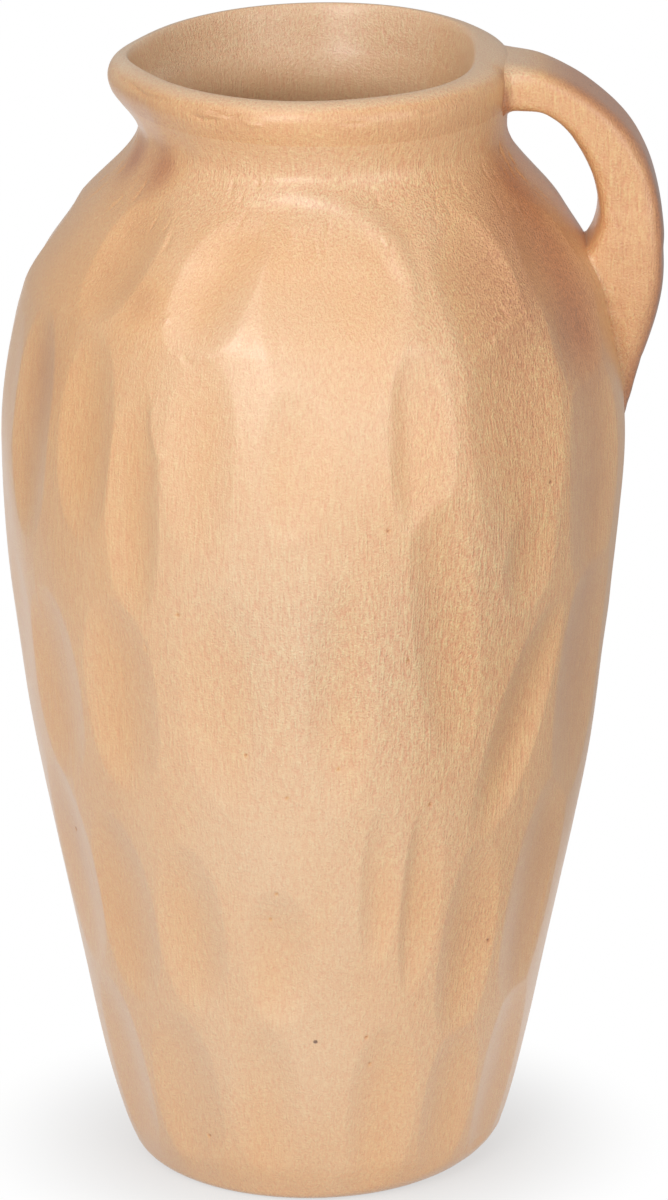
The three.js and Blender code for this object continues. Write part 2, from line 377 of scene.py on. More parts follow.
def draw_line(depth, height, points, half_width, amount):
    """Presses a line into a grid of depths, in a window round the line."""
    start = math.radians(points[0][0])
    line = [(math.radians(angle) - start, level) for angle, level in points]
    line = [(turn * float(outer_line(level)), level) for turn, level in line]
    reach = 3 * half_width
    sides, levels = zip(*line)
    beside = wrap(angles[0] - start) * float(outer_line(np.mean(levels)))
    columns = np.flatnonzero((beside > min(sides) - 2 * reach) & (beside < max(sides) + 2 * reach))
    near = np.flatnonzero((height[:, 0] > min(levels) - reach) & (height[:, 0] < max(levels) + reach))
    if not near.size or not columns.size:
        return
    level = height[near]
    across = wrap(angles[:, columns] - start) * outer_line(level)
    gap = np.full(across.shape, np.inf)
    passed = np.zeros(across.shape)
    length = 0.0
    for (x0, z0), (x1, z1) in zip(line, line[1:]):
        dx, dz = x1 - x0, z1 - z0
        t = np.clip(((across - x0) * dx + (level - z0) * dz) / (dx * dx + dz * dz), 0, 1)
        here = np.hypot(across - x0 - t * dx, level - z0 - t * dz)
        passed = np.where(here < gap, length + t * math.hypot(dx, dz), passed)
        gap = np.minimum(gap, here)
        length += math.hypot(dx, dz)
    pressure = smoothstep(np.minimum(passed, length - passed), 0, LINE_FADE * length)
    depth[np.ix_(near, columns)] += amount * pressure * np.exp(-((gap / half_width) ** 2))


def waves(height, count, around, along, seed):
    """Gentle unevenness from a sum of waves that close up round the pot. It swings by about one."""
    draw = np.random.default_rng(seed)
    total = np.zeros((len(height), angles.size))
    for _ in range(count):
        turns = draw.integers(around[0], around[1] + 1)
        climb = draw.uniform(-1, 1) * 2 * np.pi / along
        total += np.sin(turns * angles + climb * height + draw.uniform(0, 2 * np.pi))
    return total / math.sqrt(count)


def relief(height):
    """How far the skin is pressed in at these heights, all round the pot, in millimetres."""
    height = np.asarray(height, float)[:, None]
    paddled = smoothstep(height, 0, EVEN_FOOT) * (1 - smoothstep(height, *PADDLED_TO))
    depth = hollows(height) * paddled
    for line in DRAWN:
        draw_line(depth, height, *line)
    broad = BROAD_WAVES * waves(height, count=14, around=(2, 7), along=160, seed=3)
    fine = FINE_WAVES * waves(height, count=30, around=(8, 26), along=45, seed=4)
    uneven = (UNEVEN + broad + fine) * smoothstep(height, 0, WAVES_IN)
    return depth + uneven + PINHOLE_DEPTH * pinholes(height)


deepest = max(depth for *_, depth, lean in PADDLE_MARKS)
print("deepest paddle mark", round(PADDLE_FORCE * deepest, 1), "mm")

# %% [markdown]
# ## From grid to points
#
# Radius, angle and height become points here, in one place for all pieces, so that they always meet.
# The neck leans a little towards the handle and the rim is higher there, as on a pot that sagged while
# wet. Opposite the handle the lip is drawn out into a small pouring tip, as by a finger and thumb.

# %% Settle the grid in space
LEAN_FROM = 304.0
NECK_LEAN = 3.0
LIP_SHIFT = -2.2
BELLY_SHIFT = -0.9
BELLY_SHIFT_IN = (120, 200)
BELLY_SHIFT_OUT = (205, 262)
RIM_LIFT = 0.9
BACK_LIFT = 1.0
ROOT_SWELL = 6.0
ROOT_TURN = math.radians(32)
ROOT_RISE = (350, 396)
FINGER_RIPPLE = 0.2
RIPPLE_HEIGHT = 4.5
RIPPLE_WANDER = 1.5
RIPPLED_TO = (350, 370)
TIP_REACH = 4.2
TIP_TURN = math.radians(16)
TIP_FULL_HEIGHT = 388.0
MOUTH_RADIUS = float(inner_line(RIM_JOINT))


def tip_pull(angle, height, low):
    """How far a place on the rim is drawn out towards the pouring tip, from nothing at the low height."""
    beside = np.exp(-((wrap(angle - np.pi) / TIP_TURN) ** 2))
    return TIP_REACH * beside * smoothstep(height, low, TIP_FULL_HEIGHT)


def root_swell(angle, height):
    """How far the mouth's wall swells inwards behind the root of the handle."""
    return ROOT_SWELL * np.exp(-((angle / ROOT_TURN) ** 2)) * smoothstep(height, *ROOT_RISE)


def lean_at(height):
    """How far the middle of a ring stands towards the handle."""
    belly = BELLY_SHIFT * smoothstep(height, *BELLY_SHIFT_IN) * (1 - smoothstep(height, *BELLY_SHIFT_OUT))
    neck = NECK_LEAN * smoothstep(height, LEAN_FROM, THROAT_HEIGHT)
    return belly + neck + LIP_SHIFT * smoothstep(height, THROAT_HEIGHT, LIP_HEIGHT)


def settle(radius, angle, height, inner=0.0):
    """Turns radius, angle and height in millimetres into points in metres. Inner is one on the inside."""
    radius, angle, height, inner = np.broadcast_arrays(radius, angle, height, inner)
    lift = RIM_LIFT * np.cos(angle) + BACK_LIFT * np.sin(angle)
    lift = lift * smoothstep(height, RIM_JOINT, HEIGHT) * radius / CREST_RADIUS
    low = np.where(inner > 0, RIM_JOINT, THROAT_HEIGHT)
    drawn = radius + tip_pull(angle, height, low) - inner * root_swell(angle, height)
    x = lean_at(height) + drawn * np.cos(angle)
    return np.stack([x, drawn * np.sin(angle), height + lift], axis=-1) * MM


def inside(height):
    """Rings of the inside at these heights, with the soft ripples that fingers leave."""
    height = np.asarray(height, float)[:, None]
    ripple = FINGER_RIPPLE * np.sin(height / RIPPLE_HEIGHT + RIPPLE_WANDER * np.sin(angles + 0.4))
    ripple = ripple * (1 - smoothstep(height, *RIPPLED_TO))
    return settle(inner_line(height) + ripple, angles, height, 1.0)


print("the pouring tip reaches", TIP_REACH, "mm past the lip")

# %% [markdown]
# ## Shells
#
# A piece of the pot is a closed shell over rings of points: up the outside, across the joint, down the
# inside and back. Bending a plane with modifiers would also do, but rings put each row right on its joint.
# The edges at a joint are marked sharp, so that the smooth shading of the outside stops there.

# %% Build a shell from rings
UV_EDGE = 0.01
CAP_SHARE = 0.06


def shell(name, rings, sharp_rings=(), capped=False):
    """A closed mesh over rings of equal length, looped round or capped with a fan at both ends."""
    rings = np.asarray(rings)
    count, sides = rings.shape[:2]
    bands = count - 1 if capped else count
    i, j = np.meshgrid(np.arange(bands), np.arange(sides), indexing="ij")
    above, beside = (i + 1) % count, (j + 1) % sides
    lower, upper = i * sides, above * sides
    quads = np.stack([lower + j, lower + beside, upper + beside, upper + j], axis=-1)
    faces = quads.reshape(-1, 4).tolist()
    corners = rings.reshape(-1, 3).tolist()

    # The bake's map runs once round the piece from left to right, and along the rings from bottom to top.
    step = np.linalg.norm(np.diff(rings, axis=0, append=rings[:1]), axis=-1).mean(axis=1)[:bands]
    climb = np.concatenate([[0], np.cumsum(step)]) / step.sum()
    low = UV_EDGE + (CAP_SHARE if capped else 0)
    climb = low + (1 - 2 * low) * climb
    turn = UV_EDGE + (1 - 2 * UV_EDGE) * np.arange(sides + 1) / sides
    left, right, bottom, top = turn[j], turn[j + 1], climb[i], climb[i + 1]
    uv = np.stack([left, bottom, right, bottom, right, top, left, top], axis=-1).ravel().tolist()

    if capped:
        for ring, edge, tip in ((0, low, UV_EDGE), (count - 1, 1 - low, 1 - UV_EDGE)):
            corners.append(rings[ring].mean(axis=0).tolist())
            for k in range(sides):
                pair = [(k, turn[k]), ((k + 1) % sides, turn[k + 1])]
                pair = pair[::-1] if ring == 0 else pair
                faces.append([len(corners) - 1] + [ring * sides + corner for corner, _ in pair])
                uv += [(turn[k] + turn[k + 1]) / 2, tip] + [n for _, u in pair for n in (u, edge)]

    mesh = bpy.data.meshes.new(name)
    mesh.from_pydata(corners, [], faces)
    mesh.polygons.foreach_set("use_smooth", np.ones(len(faces), bool))
    mesh.uv_layers.new(name="OFBake").uv.foreach_set("vector", np.array(uv, np.float32))
    ends = np.empty(len(mesh.edges) * 2, np.int32)
    mesh.edges.foreach_get("vertices", ends)
    ring_of = ends.reshape(-1, 2) // sides
    sharp = (ring_of[:, 0] == ring_of[:, 1]) & np.isin(ring_of[:, 0], list(sharp_rings))
    mesh.attributes.new("sharp_edge", "BOOLEAN", "EDGE").data.foreach_set("value", sharp)
    piece = bpy.data.objects.new(name, mesh)
    bpy.context.scene.collection.objects.link(piece)
    return piece


def places(piece):
    """The corners of a piece as rows of x, y and z, in millimetres."""
    flat = np.empty(len(piece.data.vertices) * 3, np.float32)
    piece.data.vertices.foreach_get("co", flat)
    return flat.reshape(-1, 3) / MM


def clay_volume(piece):
    """Volume in cubic centimetres. It is above nought only where the faces point outwards."""
    piece.data.calc_loop_triangles()
    corners = np.empty(len(piece.data.loop_triangles) * 3, np.int32)
    piece.data.loop_triangles.foreach_get("vertices", corners)
    a, b, c = np.moveaxis(places(piece)[corners.reshape(-1, 3)], 1, 0).astype(float)
    cubic_mm = (a * np.cross(b, c)).sum() / 6
    return round(float(cubic_mm / 1000), 1)


def measure(piece):
    """Prints how many faces a piece has and how much clay it holds."""
    print(piece.name, len(piece.data.polygons), "faces,", clay_volume(piece), "cm3")


print("a shell's map keeps", UV_EDGE, "clear at its edges")

# %% [markdown]
# ## Tone and grain of the clay
#
# The coat of slip is thinner on ridges and edges that hands rub, and pools in hollows, which are also
# painted deeper as the shade that falls in them. A few patches are stains. The front of this pot is painted
# paler all the way down as a sheen, and the shoulder under the handle is painted deeper as shade. Each
# corner of a mesh
# carries that as one number: above nought is paler, below is deeper. A second number says how coarse the
# skin is, since the scraper dragged in some places and polished in others. The material reads both later.

# %% Tone and grain of the clay
# Angle in degrees, height and reach in millimetres of deeper, redder patches, and how deep they are.
# Some are stains and some are painted shade. Those below nought are painted paler, as a sheen down the
# front.
STAINS_SHADE_AND_SHEEN = [
    # Stains.
    (-166, 367, 8, 0.7),
    (-146, 369, 9, 0.8),
    (-128, 330, 9, 0.3),
    # Painted shade on the shoulder under the handle, which turns away from the light.
    (-38, 352, 14, 0.55),
    (-22, 362, 14, 0.6),
    (-25, 312, 22, 0.55),
    (-20, 340, 18, 0.5),
    (-44, 330, 13, 0.35),
    # More stains.
    (-106, 352, 16, 0.2),
    (-152, 300, 16, 0.25),
    # Painted sheen: the front, neck included, is painted paler all the way down.
    (-96, 369, 18, -0.25),
    (-96, 318, 46, -0.4),
    (-98, 235, 56, -0.45),
    (-99, 150, 60, -0.45),
    (-101, 55, 56, -0.55),
]


def stain_shade_and_sheen(height):
    """How deep the stains, the painted shade and the painted sheen are at these heights, all round the pot.
    """
    return spots(height, [(angle, centre, reach, reach, amount) for angle, centre, reach, amount in STAINS_SHADE_AND_SHEEN])


# Where the scraper dragged and left the skin coarse: angle, height, reach across and along, and how coarse.
COARSE_PLACES = [
    (-40, 330, 45, 40, 0.9),
    (-48, 262, 34, 60, 0.9),
    (-85, 215, 50, 40, 0.6),
    (-62, 190, 30, 60, 0.6),
    (-90, 368, 70, 14, 0.6),
    (-50, 100, 24, 50, 0.4),
    (60, 250, 70, 90, 0.7),
    (140, 300, 50, 70, 0.6),
]
PLAIN_SKIN = 0.7


def coarse_skin(height):
    """How coarse the skin is at these heights, all round the pot."""
    return PLAIN_SKIN + spots(height, COARSE_PLACES)


def set_skin(piece, tone, coarse=PLAIN_SKIN):
    """Writes the tone and the coarseness of each corner of a piece."""
    tone = np.clip(np.asarray(tone, np.float32).ravel(), -1, 1)
    coarse = np.ravel(coarse) * np.ones(tone.shape, np.float32)
    for name, value in (("tone", tone), ("coarse", coarse.astype(np.float32))):
        piece.data.attributes.new(name, "FLOAT", "POINT").data.foreach_set("value", value)


print(len(STAINS_SHADE_AND_SHEEN), "patches of another tone,", len(COARSE_PLACES), "coarse ones")

# %% [markdown]
# ## Wall courses
#
# Five rings of clay and a collar make the wall. On the real pot their joints are smoothed away, and here
# they vanish because each course takes its rows from the same relief.

# %% Wall courses
INSIDE_ROW = 8.0
EVEN_DEPTH = 1.2
# Hollows are painted deeper, partly as slip that pools there and partly as painted shade.
HOLLOW_SLIP_AND_SHADE = 0.07
# Pinholes are painted dark, as the shade inside them.
PINHOLE_SHADE_TONE = 1.2
# The inside of the mouth is painted paler towards the top, as light falling in.
MOUTH_PAINTED_LIGHT = 0.5
MOUTH_LIGHT_RISE = (330, 365)
COURSES = ["foot_course", "lower_course", "middle_course", "belly_course", "shoulder_course", "neck_collar"]
pieces = {}
for course, heights in zip(COURSES, rows[1:]):
    low, high = heights[0], heights[-1]
    depth = relief(heights)
    outside = settle(outer_line(heights)[:, None] - depth, angles, heights[:, None])
    inside_heights = np.linspace(high, low, round((high - low) / INSIDE_ROW) + 1)
    top = len(heights) - 1
    joint_rings = (0, top, top + 1, top + len(inside_heights))
    pieces[course] = shell(course + "_clay", np.concatenate([outside, inside(inside_heights)]), joint_rings)
    # Hollows are painted deeper as pooled slip and shade, and pinholes dark as the shade inside them.
    tone = HOLLOW_SLIP_AND_SHADE * (EVEN_DEPTH - depth) - stain_shade_and_sheen(heights) - PINHOLE_SHADE_TONE * pinholes(heights)
    # Painted light inside the mouth.
    inner_painted_light = MOUTH_PAINTED_LIGHT * smoothstep(inside_heights, *MOUTH_LIGHT_RISE)[:, None] + 0 * angles
    coarse = np.concatenate([coarse_skin(heights), 0 * inner_painted_light + PLAIN_SKIN])
    set_skin(pieces[course], np.concatenate([tone, inner_painted_light]), coarse)
    measure(pieces[course])

# %% [markdown]
# ## Floor slab
#
# The floor is a disc of clay under the first course, and its top is the bottom of the inside. Its lower edge
# wore round as the pot was turned on the bench: most of all under the handle, and least in front and behind.

# %% Floor slab
FOOT_RADIUS = 61.5
FOOT_EDGE = 5.0
SIDE_WEAR = 0.5
RIGHT_WEAR = 0.6
EDGE_RINGS = 7
SIDE_RINGS = 10
FLAT_RINGS = 14


def floor_rings():
    """Rings from the middle of the underside round to the middle of the top, and where the side ends."""
    rounding = FOOT_EDGE * (1 + SIDE_WEAR * np.cos(2 * angles) + RIGHT_WEAR * np.cos(angles))
    turn = np.linspace(0, np.pi / 2, EDGE_RINGS)[:, None]
    edge_height = rounding * (1 - np.cos(turn))
    edge = settle(outer_line(edge_height) - rounding * (1 - np.sin(turn)), angles, edge_height)
    share = np.linspace(0, 1, SIDE_RINGS + 1)[1:, None]
    heights = rounding + share * (FLOOR - rounding)
    pressed = share * relief([FLOOR])
    side = settle(outer_line(heights) - pressed, angles, heights)
    share = np.linspace(0.05, 0.97, FLAT_RINGS)[:, None]
    under = settle(share * (FOOT_RADIUS - FOOT_EDGE), angles, 0.0)
    top = settle((1 - share) * float(outer_line(FLOOR)), angles, FLOOR)
    return np.concatenate([under, edge, side, top]), len(under) + len(edge) + len(side) - 1


floor_skin, side_end = floor_rings()
pieces["floor_slab"] = shell("floor_slab_clay", floor_skin, (side_end,), capped=True)
slab_tone = np.repeat(-stain_shade_and_sheen([FLOOR]), len(floor_skin), axis=0)
set_skin(pieces["floor_slab"], np.concatenate([slab_tone.ravel(), [0, 0]]))
measure(pieces["floor_slab"])

# %% [markdown]
# ## Rim coil
#
# A coil of clay is laid on the neck and pulled out into the lip. In section it flares out to the lip, rounds
# over to a crest, and falls like a funnel into the mouth, whose wall is thicker behind the handle's root.
# A quarter ellipse gives the roll and a Bezier curve the funnel, and each runs on from the last without a
# kink. The crest and the pouring tip are worn pale and carry a painted highlight. The lip below the crest is
# painted a little deeper as shade, and its deep cracks darker as the shade in them.

# %% Rim coil
CREST_FLAT = 60.0
FUNNEL_RISE = 7.0
FLARE_RINGS = 16
ROLL_RINGS = 24
FUNNEL_RINGS = 30


def bezier(points, t):
    """Points of a cubic Bezier curve at these shares of its run."""
    a, b, c, d = np.array(points, float)
    t = t[:, None]
    return a * (1 - t) ** 3 + 3 * b * t * (1 - t) ** 2 + 3 * c * t**2 * (1 - t) + d * t**3


def rim_section():
    """Radius and height along the rim, from the outer joint over the crest to the inner joint."""
    flare_height = np.linspace(RIM_JOINT, LIP_HEIGHT, FLARE_RINGS)
    flare = np.stack([outer_line(flare_height), flare_height], axis=-1)
    turn = np.linspace(0, np.pi / 2, ROLL_RINGS + 1)[1:]
    roll_radius = CREST_RADIUS + (LIP_RADIUS - CREST_RADIUS) * np.cos(turn)
    roll = np.stack([roll_radius, LIP_HEIGHT + (HEIGHT - LIP_HEIGHT) * np.sin(turn)], axis=-1)
    falling = np.linspace(0, 1, FUNNEL_RINGS + 1)[1:] ** 1.5
    crest, joint = (CREST_RADIUS, HEIGHT), (MOUTH_RADIUS, RIM_JOINT)
    flaring = float(inner_line(RIM_JOINT) - inner_line(RIM_JOINT - 1))
    above_joint = (MOUTH_RADIUS + flaring * FUNNEL_RISE, RIM_JOINT + FUNNEL_RISE)
    funnel = bezier([crest, (CREST_FLAT, HEIGHT), above_joint, joint], falling)
    return np.concatenate([flare, roll, funnel]), len(flare) + len(roll)


# Wrinkles and cracks of the lip, drawn like the lines of the wall.
LIP_LINES = [
    ([(-172, 395.5), (-160, 396.3), (-150, 394.8), (-141, 395.6), (-132, 394.6)], 0.6, 0.7),
    ([(-131, 393.5), (-124, 391.5), (-117, 393)], 0.8, 0.55),
    ([(-124, 396), (-116, 394.2), (-110, 395.5)], 0.7, 0.6),
    ([(-128, 395.2), (-121, 393.8), (-114, 394.6)], 1.1, -0.5),
    ([(-112, 392.5), (-104, 391.6)], 0.8, -0.4),
    ([(-84, 393.2), (-74, 392.6)], 0.7, 0.3),
    ([(-60, 394), (-52, 393)], 0.7, 0.35),
    ([(150, 395), (165, 395.6)], 0.6, 0.4),
    ([(70, 394), (82, 395)], 0.6, 0.35),
]

CREST_SMOOTHED = 0.8
SMOOTHED_FROM = 394
CREST_DIP = 0.15
INNER_FROM, INNER_TO = -14, 12
# The crest and the pouring tip are worn pale and carry a painted highlight.
CREST_WEAR_AND_SHEEN = 0.55
CREST_PALE_HEIGHTS = (396.0, 399.6)
TIP_WEAR_AND_SHEEN = 0.5
TIP_PALE_HEIGHTS = (391, 395)
TIP_PALE_TURN = 1.5 * TIP_TURN
# Deep cracks and the lip below the crest are painted darker, as shade.
CRACK_FROM = 0.6
CRACK_SHADE = -0.3
LIP_SHADE = -0.15
RIM_SKIN = 1.0

section, crest_end = rim_section()
lip, mouth = slice(crest_end), slice(crest_end, None)
rim_radius, rim_height = section[:, :1], section[:, 1:]
above_joint = smoothstep(rim_height, RIM_JOINT, HEIGHT)
rim_depth = np.zeros((len(section), angles.size))
rim_depth[lip] = relief(rim_height[lip, 0])
for line in LIP_LINES:
    draw_line(rim_depth[lip], rim_height[lip], *line)
rim_depth[lip] *= 1 - CREST_SMOOTHED * smoothstep(rim_height[lip], SMOOTHED_FROM, HEIGHT)
rim_depth[mouth] = rim_depth[crest_end - 1] * above_joint[mouth]
dip = CREST_DIP * (1 + waves(rim_height, count=4, around=(3, 6), along=1000, seed=5)) * above_joint
past_crest = np.arange(len(section))[:, None] - crest_end
inner_side = smoothstep(past_crest, INNER_FROM, INNER_TO)
rim_rings = settle(rim_radius - rim_depth, angles, rim_height - dip, inner_side)
rim = pieces["rim_coil"] = shell("rim_coil_clay", rim_rings, (0, len(section) - 1))

# Wear and a painted highlight on the crest and the tip.
crest_wear_and_sheen = smoothstep(rim_height, *CREST_PALE_HEIGHTS)
tip_wear_and_sheen = np.exp(-((wrap(angles - np.pi) / TIP_PALE_TURN) ** 2)) * smoothstep(rim_height, *TIP_PALE_HEIGHTS)
# Deep cracks are painted darker as the shade in them, and the lip below the crest a little deeper as shade.
cracks = np.clip(rim_depth - CRACK_FROM, 0, None)
rim_tone = CREST_WEAR_AND_SHEEN * crest_wear_and_sheen + TIP_WEAR_AND_SHEEN * tip_wear_and_sheen + CRACK_SHADE * cracks
rim_tone[lip] += LIP_SHADE * (1 - crest_wear_and_sheen[lip]) - stain_shade_and_sheen(rim_height[lip, 0])
# The inside of the rim keeps at least the painted light of the mouth.
rim_tone[mouth] = np.maximum(rim_tone[mouth], MOUTH_PAINTED_LIGHT)
set_skin(rim, rim_tone, RIM_SKIN)
measure(rim)

# %% [markdown]
# ## Strap handle
#
# The handle is a pulled strap: a squarish section with rounded edges, widest where it leaves the rim. It
# is a row of sections, each given by a point on its back, one on the palm's side and half its width, and a
# cubic curve runs through them. Below the finger gap the palm side plunges into the wall, and the back runs
# on down the shoulder as a tongue that ends in a point.

# %% Sections of the strap handle
# Back x and z, palm x and z, and half the width, in millimetres.
STRAP_SECTIONS = [
    (57, 399.6, 57, 381.5, 19),
    (64, 399.2, 64, 381.6, 17.6),
    (70, 398.4, 70, 381.5, 17),
    (78, 396.8, 76.2, 380.8, 16.8),
    (90, 391.2, 84.2, 377.2, 16.4),
    (102, 382.3, 90.8, 368.8, 16),
    (112.4, 369.8, 95.6, 359.2, 15.8),
    (118.6, 353.4, 97.8, 350, 16),
    (121.2, 336, 97.6, 340.5, 16.6),
    (121, 321, 94, 333, 16.6),
    (117.3, 302.5, 86, 319, 14),
    (112.8, 288, 88, 299, 9),
    (109.6, 275, 95, 278, 4.5),
    (106.2, 264, 99, 265, 2),
]
STRAP_SQUARENESS = 4.6
STRAP_STEPS = 230
STRAP_SIDES = 128


def curve_through(stations, count):
    """Rows along a natural cubic curve through the stations, at even distances along the strap's middle."""
    stations = np.array(stations, float)
    middle = (stations[:, :2] + stations[:, 2:4]) / 2
    place = np.concatenate([[0], np.cumsum(np.linalg.norm(np.diff(middle, axis=0), axis=1))])
    gap = np.diff(place)[:, None]
    slope = np.diff(stations, axis=0) / gap
    system = np.eye(len(place))
    bend = np.zeros_like(stations)
    for k in range(1, len(gap)):
        system[k, k - 1 : k + 2] = gap[k - 1, 0], 2 * (gap[k - 1, 0] + gap[k, 0]), gap[k, 0]
        bend[k] = 6 * (slope[k] - slope[k - 1])
    bend = np.linalg.solve(system, bend)
    where = np.linspace(0, place[-1], count)
    i = np.clip(np.searchsorted(place, where, side="right") - 1, 0, len(gap) - 1)
    t = (where - place[i])[:, None]
    start = t * (slope[i] - gap[i] * (2 * bend[i] + bend[i + 1]) / 6)
    return stations[i] + start + t**2 * bend[i] / 2 + t**3 * (bend[i + 1] - bend[i]) / (6 * gap[i])


def strap_rings():
    """Points of the strap before it is joined to the pot, and the way out of its middle, in millimetres."""
    along = curve_through(STRAP_SECTIONS, STRAP_STEPS)
    back, palm, half_width = along[:, :2], along[:, 2:4], along[:, 4:]
    turn = np.linspace(0, 2 * np.pi, STRAP_SIDES, endpoint=False)[None, :]
    around = np.stack([np.cos(turn), -np.sin(turn)])
    outward, sideways = np.sign(around) * np.abs(around) ** (2 / STRAP_SQUARENESS)
    middle, half = (back + palm) / 2, (back - palm) / 2
    x = middle[:, :1] + half[:, :1] * outward
    z = middle[:, 1:] + half[:, 1:] * outward
    points = np.stack([x, half_width * sideways, z], axis=-1)
    way = half / np.linalg.norm(half, axis=1, keepdims=True)
    push = np.stack([way[:, :1] * around[0], around[1] + 0 * x, way[:, 1:] * around[0]], axis=-1)
    return points, push


strap_points, strap_push = strap_rings()
print("strap reaches", round(float(strap_points[..., 0].max()), 1), "mm from the axis")

# %% [markdown]
# ### Dabbing the strap and smearing its joints
#
# A wet thumb presses the strap on and leaves shallow dabs along it. Then the potter smears clay over the
# joint of strap and pot. Close to the pot each section swells sideways along the pot's surface, as a small
# fillet that is widest at the rim and tight along the tongue, where a tool ran.
# Hardly any of it goes up, so the strap does not climb over the rim.

# %% Dabs and fillet of the strap
DABS = 90
FILLET_SWELL = 0.8
fillet_reach = line_through([(0, 3), (0.12, 3), (0.3, 2.5), (0.5, 2.5), (0.6, 1.2), (1, 0.8)])
UP_SHARE = 0.15
wall_heights = np.arange(200, RIM_JOINT)
outline = np.concatenate([np.stack([outer_line(wall_heights), wall_heights], axis=-1), section[:crest_end]])


def from_pot(points):
    """Distance of points from the pot's smooth outside, and the way out of it, in millimetres."""
    lean = lean_at(points[:, 2])
    from_axis = points[:, :2] - np.stack([lean, 0 * lean], axis=-1)
    radius = np.hypot(from_axis[:, 0], from_axis[:, 1])
    flat = np.stack([radius, points[:, 2]], axis=-1)
    along = np.gradient(outline, axis=0)
    normal = np.stack([along[:, 1], -along[:, 0]], axis=-1)
    normal /= np.linalg.norm(normal, axis=1, keepdims=True)
    nearest = ((flat[:, None, :] - outline[None]) ** 2).sum(-1).argmin(1)
    out = normal[nearest]
    distance = ((flat - outline[nearest]) * out).sum(-1)
    away = np.concatenate([from_axis / radius[:, None] * out[:, :1], out[:, 1:]], axis=1)
    return distance, away


def smeared(points, push):
    """The strap's points, swollen along the pot's surface where they come close to it."""
    flat_points, flat_push = points.reshape(-1, 3), push.reshape(-1, 3)
    distance, away = from_pot(flat_points)
    beside = flat_push - (flat_push * away).sum(-1, keepdims=True) * away
    reach = np.repeat(fillet_reach(np.linspace(0, 1, len(points))), points.shape[1])
    near = np.clip((reach - distance) / reach, 0, 1)
    swell = FILLET_SWELL * reach * (1 - np.sqrt(1 - near**2))
    beside[:, 2] *= np.where(beside[:, 2] > 0, UP_SHARE, 1.0)
    return (flat_points + beside * swell[:, None]).reshape(points.shape)


def dabbed(points, push):
    """The strap's points with the shallow dabs that a wet thumb leaves along it."""
    draw = np.random.default_rng(11)
    steps, sides = points.shape[:2]
    depth = np.zeros((steps, sides))
    along = np.arange(steps)[:, None]
    around = np.arange(sides)[None, :]
    for _ in range(DABS):
        step, side = draw.uniform(0, steps), draw.uniform(0, sides)
        long, wide = draw.uniform(3, 9), draw.uniform(4, 10)
        beside = (around - side + sides / 2) % sides - sides / 2
        depth += draw.uniform(0.1, 0.4) * np.exp(-(((along - step) / long) ** 2) - (beside / wide) ** 2)
    return points - push * depth[..., None]


strap_skin = smeared(dabbed(strap_points, strap_push), strap_push)
strap = shell("strap_handle_clay", strap_skin * MM, capped=True)
measure(strap)

# %% [markdown]
# ### Trimming the strap
#
# The cutter is the pot's own outline a little under its surface, filled and carried on above the crest.
# What is left of the strap sits in the wall by that little and no more.

# %% Trim the strap with a boolean
SEATED = 3.0
LIP_SEATED = 1.0
CORE_COLUMNS = 120
CORE_ABOVE = 6
wall_core = np.arange(220, RIM_JOINT, 4)
core_section = np.concatenate(
    [
        np.stack([outer_line(wall_core) - SEATED, wall_core], axis=-1),
        section[3:crest_end:4] - (LIP_SEATED, 0),
        [[CREST_RADIUS - LIP_SEATED, HEIGHT + CORE_ABOVE]],
    ]
)
core_angles = np.linspace(-np.pi, np.pi, CORE_COLUMNS, endpoint=False)[None, :]
core = shell("core", settle(core_section[:, :1], core_angles, core_section[:, 1:]), capped=True)
trim = strap.modifiers.new("trim", "BOOLEAN")
trim.operation = "DIFFERENCE"
trim.solver = "EXACT"
trim.object = core
trimmed = bpy.data.meshes.new_from_object(strap.evaluated_get(bpy.context.evaluated_depsgraph_get()))
strap.modifiers.clear()
strap.data = trimmed
bpy.data.objects.remove(core)
pieces["strap_handle"] = strap
measure(strap)

# %% [markdown]
# ### Painted shade and wear on the strap
#
# The corner between the strap and the rim, on the front, is painted darker as the shade there, on both
# pieces.
# The top of the root is worn pale and carries a painted highlight. The strap's back is painted deeper as the
# shade of its outer face, and the whole strap a little deeper as shade.

# %% Painted shade and wear on the strap
ROOT_CORNER = np.array([(62.5, -19.0, 397.0), (66.5, -17.5, 381.0)])
# The corner between the root and the rim is painted darker, as shade.
CORNER_SHADE = 0.8
CORNER_SHADE_REACH = 3.0
# The top of the root is worn pale and carries a painted highlight.
ROOT_WEAR_AND_SHEEN = 0.6
ROOT_TOP = (390, 397)
ROOT_OUT = (68, 84)
# The strap's back is painted deeper, as the shade of its outer face.
BACK_SHADE = -0.7
BACK_SHADE_REACH = 3.5
BACK_SHADE_OUT = (72, 96)
# The whole strap is painted a little deeper, as shade.
STRAP_SHADE = -0.1
STRAP_SKIN = 1.1


def root_corner_shade(points):
    """How much deeper the painted shade in the root's corner makes the tone at these points."""
    start, run = ROOT_CORNER[0], ROOT_CORNER[1] - ROOT_CORNER[0]
    t = np.clip((points - start) @ run / (run @ run), 0, 1)
    away = np.linalg.norm(points - start - t[:, None] * run, axis=1)
    return CORNER_SHADE * np.exp(-((away / CORNER_SHADE_REACH) ** 2))


# The rim takes the painted shade of the root's corner too.
rim_tone = (rim_tone.ravel() - root_corner_shade(places(rim))).astype(np.float32)
rim.data.attributes["tone"].data.foreach_set("value", rim_tone)

strap_x, strap_z = places(strap)[:, 0], places(strap)[:, 2]
back_line = curve_through(STRAP_SECTIONS, STRAP_STEPS)[:, :2]
from_back = np.hypot(strap_x[:, None] - back_line[:, 0], strap_z[:, None] - back_line[:, 1]).min(axis=1)
# The top of the root is worn pale and carries a painted highlight.
root = smoothstep(strap_z, *ROOT_TOP) * (1 - smoothstep(strap_x, *ROOT_OUT))
